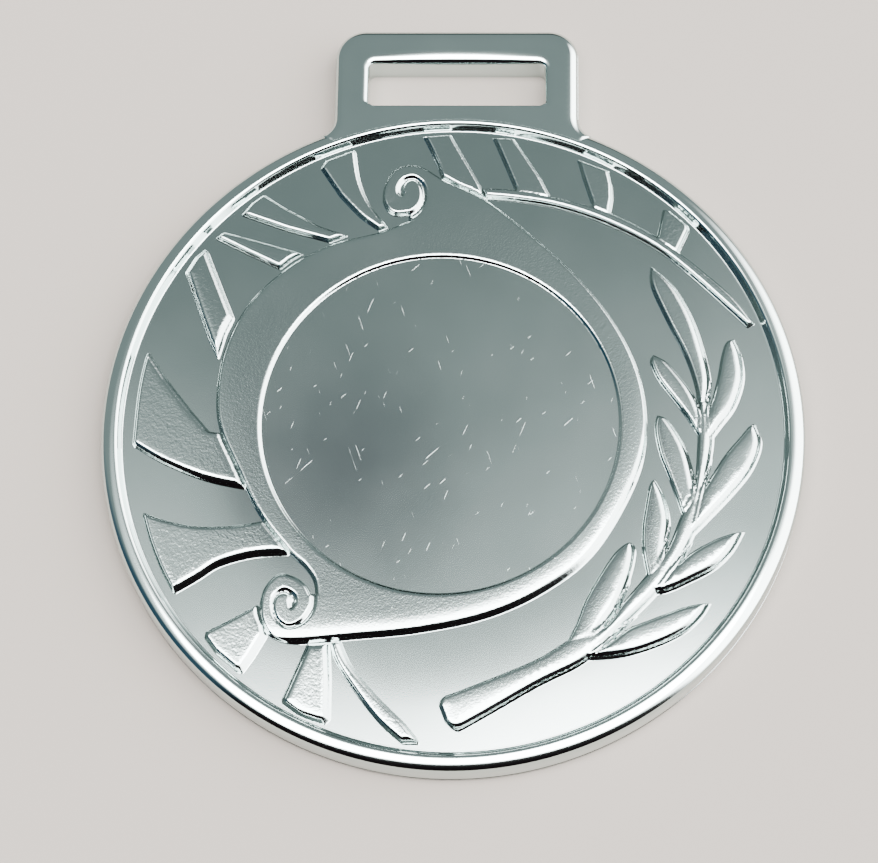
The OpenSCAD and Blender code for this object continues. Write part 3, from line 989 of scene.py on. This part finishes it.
# ---------------------------------------------------------------- ornaments
@dataclass
class ScrolledRing:
    """The ring round the seat, which ends in two scrolls cut by V-grooves."""

    sizes: MedalSizes

    def build(self, finish: bpy.types.Material) -> None:
        """Models and dresses the ring.

        Args:
            finish: The relief's finish.
        """
        s = self.sizes
        cuts = [channel(UPPER_PATH, UPPER_WIDTH), channel(LOWER_PATH, LOWER_WIDTH)]
        top = s.ring_h
        groove = WallProfile(((-0.26, top - 0.25), (-0.16, top - 0.2), (0.0, top - 0.07),
                              (0.06, top - 0.02), (0.12, top), (0.9, top + 0.01)))
        relief = CastRelief([Ornament("scrolled_ring", ring_outline(), cuts)], crisp(top), s,
                            seat=(s.seat_centre, s.seat_d / 2), cut_profile=groove,
                            worn_profile=worn(top, 1.2, 1.2), worn_shift=(-0.9, 1.2),
                            worn_reach=1.8)
        relief.dress(finish, ("scroll_ring",))


@dataclass
class Sunburst:
    """The nine loose rays round the ring.

    Rays are numbered from 0, clockwise from the foot of the ring: those on the
    ring end at its outline, and broad-edged ones have more draft.
    """

    sizes: MedalSizes
    on_ring: tuple[int, ...] = (0, 1, 2, 3, 4, 6, 7, 8)
    broad_edged: tuple[int, ...] = (1, 5)
    worn_rays: tuple[int, ...] = (0, 1, 2, 3, 4, 5)

    def build(self, finish: bpy.types.Material) -> None:
        """Models and dresses the rays.

        Args:
            finish: The relief's finish.
        """
        for n in range(LOOSE_RAYS):
            cuts = [ring_outline()] if n in self.on_ring else []
            shape = drafted if n in self.broad_edged else crisp
            wear = worn(self.sizes.ray_h, 0.1, 0.22) if n in self.worn_rays else None
            relief = CastRelief([Ornament(f"cast_ray_{n + 1:02d}", ray_outline(n), cuts)],
                                shape(self.sizes.ray_h), self.sizes,
                                worn_profile=wear, worn_shift=(-0.2, 0.2))
            relief.dress(finish, (f"ray_{n + 1:02d}",))


@dataclass
class Comb:
    """The long band with its four teeth, one casting."""

    sizes: MedalSizes

    def build(self, finish: bpy.types.Material) -> None:
        """Models and dresses the band and its teeth.

        Args:
            finish: The relief's finish.
        """
        ring = ring_outline()
        band = smooth_run(COMB_LOW, 8, True) + smooth_run(COMB_HIGH, 8, True)
        # the band and the first tooth end at the ring
        parts = [Ornament("comb_sweep", band, [ring]),
                 Ornament("comb_tooth_10", ray_outline(LOOSE_RAYS), [ring])]
        parts += [Ornament(f"comb_tooth_{n + 1:02d}", ray_outline(n)) for n in (10, 11, 12)]
        nodes = ("comb_band", "ray_10", "ray_11", "ray_12", "ray_13")
        CastRelief(parts, crisp(self.sizes.comb_h), self.sizes).dress(finish, nodes)


@dataclass
class OliveBranch:
    """The stem with its nine domed leaves, one casting."""

    sizes: MedalSizes

    def build(self, finish: bpy.types.Material) -> None:
        """Models and dresses the stem and the leaves.

        Args:
            finish: The relief's finish.
        """
        stem = smooth_run(STEM_LEFT, 6, True) + smooth_run(STEM_RIGHT, 6, True)[::-1]
        parts = [Ornament("olive_stem", stem)]
        for n, (left, right) in enumerate(LEAVES, 1):
            outline = smooth_run(left, 6) + smooth_run(right, 6, True)[::-1]
            parts.append(Ornament(f"olive_leaf_{n}", outline))
        nodes = ("branch_stem",) + tuple(f"leaf_{n}" for n in range(1, len(parts)))
        high = self.sizes.branch_h
        CastRelief(parts, crisp(high - 0.02, 0.02), self.sizes, worn_profile=worn(high, 0.3, 0.25),
                   worn_shift=(-0.25, 0.22)).dress(finish, nodes)


# ---------------------------------------------------------------- studio
@dataclass(frozen=True)
class SoftBox:
    """A soft patch of light or shade in the studio's dome.

    It is full inside the inner angle from its middle and gone at the outer
    one, in degrees.
    """

    towards: tuple[float, float, float]
    inner: float
    outer: float
    colour: str
    strength: float


@dataclass
class Studio:
    """Pale floor, soft dome light and the camera."""

    lens_mm: float = 126.92
    place_mm: tuple[float, float, float] = (5.533, -76.429, 207.673)
    aim_mm: tuple[float, float, float] = (-0.957, 0.05, 1.5)
    roll_deg: float = 0.8475
    sensor_mm: float = 36.0
    floor_colour: str = "#7d766f"
    floor_half_m: float = 1.5
    floor_drop_mm: float = 0.02
    dome_colour: str = "#a5b5b4"
    dome_strength: float = 0.9
    dome: tuple[SoftBox, ...] = (
        SoftBox((0.0, 1.0, 0.0), 5, 30, "#2d3332", 1.0),
        SoftBox((0.407, -0.115, 1.0), 16, 38, "#f4fffd", 2.2),
        SoftBox((-0.9, -0.6, 0.2), 30, 55, "#3c5f73", 1.0),
        SoftBox((1.0, 0.1, 0.55), 28, 50, "#ffffff", 15.0),
        SoftBox((-0.296, -0.1, 1.0), 16.4, 30.4, "#f4fffd", 1.8),
        SoftBox((0.082, 0.167, 1.0), 6.2, 9.2, "#f4fffd", 2.0),
        SoftBox((-0.163, -0.176, 1.0), 18, 23.6, "#ffffff", 30.0),
        SoftBox((0.149, -0.122, 1.0), 18, 22.2, "#ffffff", 30.0),
        SoftBox((-0.062, 0.353, 1.0), 0.8, 2.6, "#5f646c", 1.0),
        SoftBox((-0.1, 0.346, 1.0), 0.4, 1.7, "#6f7378", 1.0),
        SoftBox((0.0, -1.0, 0.3), 47, 57, "#1c1518", 1.0),
    )

    def build(self) -> None:
        """Sets up the floor, the light and the camera."""
        self._floor()
        self._light()
        self._camera()

    def _floor(self) -> None:
        """Lays a plain pale floor under the medal."""
        bm = bmesh.new()
        bmesh.ops.create_grid(bm, x_segments=2, y_segments=2, size=self.floor_half_m)
        bmesh.ops.translate(bm, verts=bm.verts, vec=(0, 0, -self.floor_drop_mm * MM))
        mesh = bpy.data.meshes.new("floor")
        bm.to_mesh(mesh)
        bm.free()
        floor = bpy.data.objects.new("floor", mesh)
        bpy.context.scene.collection.objects.link(floor)
        material = bpy.data.materials.new("pale_paper")
        material.use_nodes = True
        shader = material.node_tree.nodes["Principled BSDF"]
        shader.inputs["Base Color"].default_value = srgb(self.floor_colour)
        shader.inputs["Roughness"].default_value = 0.9
        mesh.materials.append(material)

    def _light(self) -> None:
        """Paints the dome and its soft boxes, which are all the light there is."""
        world = bpy.data.worlds.new("studio")
        bpy.context.scene.world = world
        world.use_nodes = True
        tree = world.node_tree
        tree.nodes.clear()
        way = add_node(tree, "ShaderNodeTexCoord").outputs["Generated"]
        colour: bpy.types.NodeSocket | tuple = tuple(
            self.dome_strength * c for c in srgb(self.dome_colour)[:3]) + (1.0,)
        for box in self.dome:
            aim = Vector(box.towards).normalized()
            turn = add_node(tree, "ShaderNodeVectorMath", {"operation": "DOT_PRODUCT"},
                            {0: way, 1: tuple(aim)})
            part = add_node(tree, "ShaderNodeMapRange", {"interpolation_type": "SMOOTHSTEP"},
                            {"Value": turn.outputs["Value"],
                             "From Min": math.cos(math.radians(box.outer)),
                             "From Max": math.cos(math.radians(box.inner))})
            light = tuple(box.strength * c for c in srgb(box.colour)[:3]) + (1.0,)
            mix = add_node(tree, "ShaderNodeMix", {"data_type": "RGBA"},
                           {"Factor": part.outputs["Result"], "A": colour, "B": light})
            colour = mix.outputs["Result"]
        back = add_node(tree, "ShaderNodeBackground", {}, {"Color": colour, "Strength": 1.0})
        add_node(tree, "ShaderNodeOutputWorld", {}, {"Surface": back.outputs["Background"]})

    def _camera(self) -> None:
        """Puts the camera over the medal, nearly looking down on it."""
        eye, aim = Vector(self.place_mm) * MM, Vector(self.aim_mm) * MM
        forward = (aim - eye).normalized()
        right = forward.cross(Vector((0, 1, 0)) - forward * forward.y).normalized()
        up = right.cross(forward)
        a = math.radians(self.roll_deg)
        side = math.cos(a) * right + math.sin(a) * up
        top = math.cos(a) * up - math.sin(a) * right
        turn = Matrix((side, top, -forward)).transposed().to_4x4()
        data = bpy.data.cameras.new("camera")
        data.lens, data.sensor_width, data.sensor_fit = self.lens_mm, self.sensor_mm, "HORIZONTAL"
        data.clip_start, data.clip_end = 0.01, 10.0
        camera = bpy.data.objects.new("camera", data)
        camera.matrix_world = Matrix.Translation(eye) @ turn
        bpy.context.scene.collection.objects.link(camera)
        bpy.context.scene.camera = camera


def main() -> None:
    """Builds the medal piece by piece, then the studio."""
    logging.basicConfig(level=logging.INFO, format="%(name)s: %(message)s")
    sizes = MedalSizes()
    # a calm mirror, blurred by years of handling
    field_finish = PlatedZinc("satin_plate_field", Surface.PLAIN, roughness=0.095).build()
    # a lighter plate than the field's: partly the rim's own slightly lighter metal, partly painted
    # light that makes the rim and loop brighter
    rim_finish_painted_light = PlatedZinc("satin_plate_rim_painted_light", Surface.PLAIN, "#c8d3d1", "#bcc8c6", 0.095).build()
    # as the field, with hairlines that catch the light
    seat_finish = PlatedZinc("satin_plate_seat", Surface.SCRATCHED, roughness=0.1).build()
    # cast skin left under the plate: a fine tooth that breaks reflections up
    relief_finish = PlatedZinc("grained_plate_relief", Surface.GRAINED, roughness=0.1,
                               grain_mm=0.13, grain_depth_mm=0.005, fleck_mm=0.3,
                               fleck_depth_mm=0.002).build()
    # the same skin with small dents, so the rays glitter more
    ray_finish = PlatedZinc("hammered_plate_rays", Surface.HAMMERED, roughness=0.1, grain_mm=0.15,
                            grain_depth_mm=0.004, fleck_mm=0.3, fleck_depth_mm=0.006).build()
    PlainField(sizes).build(field_finish)
    RolledRim(sizes).build(rim_finish_painted_light)
    RibbonLoop.from_sizes(sizes).build_piece(rim_finish_painted_light)
    EmblemSeat(sizes).build(seat_finish)
    ScrolledRing(sizes).build(relief_finish)
    Sunburst(sizes).build(ray_finish)
    Comb(sizes).build(ray_finish)
    OliveBranch(sizes).build(relief_finish)
    Studio().build()


if __name__ == "__main__":
    main()
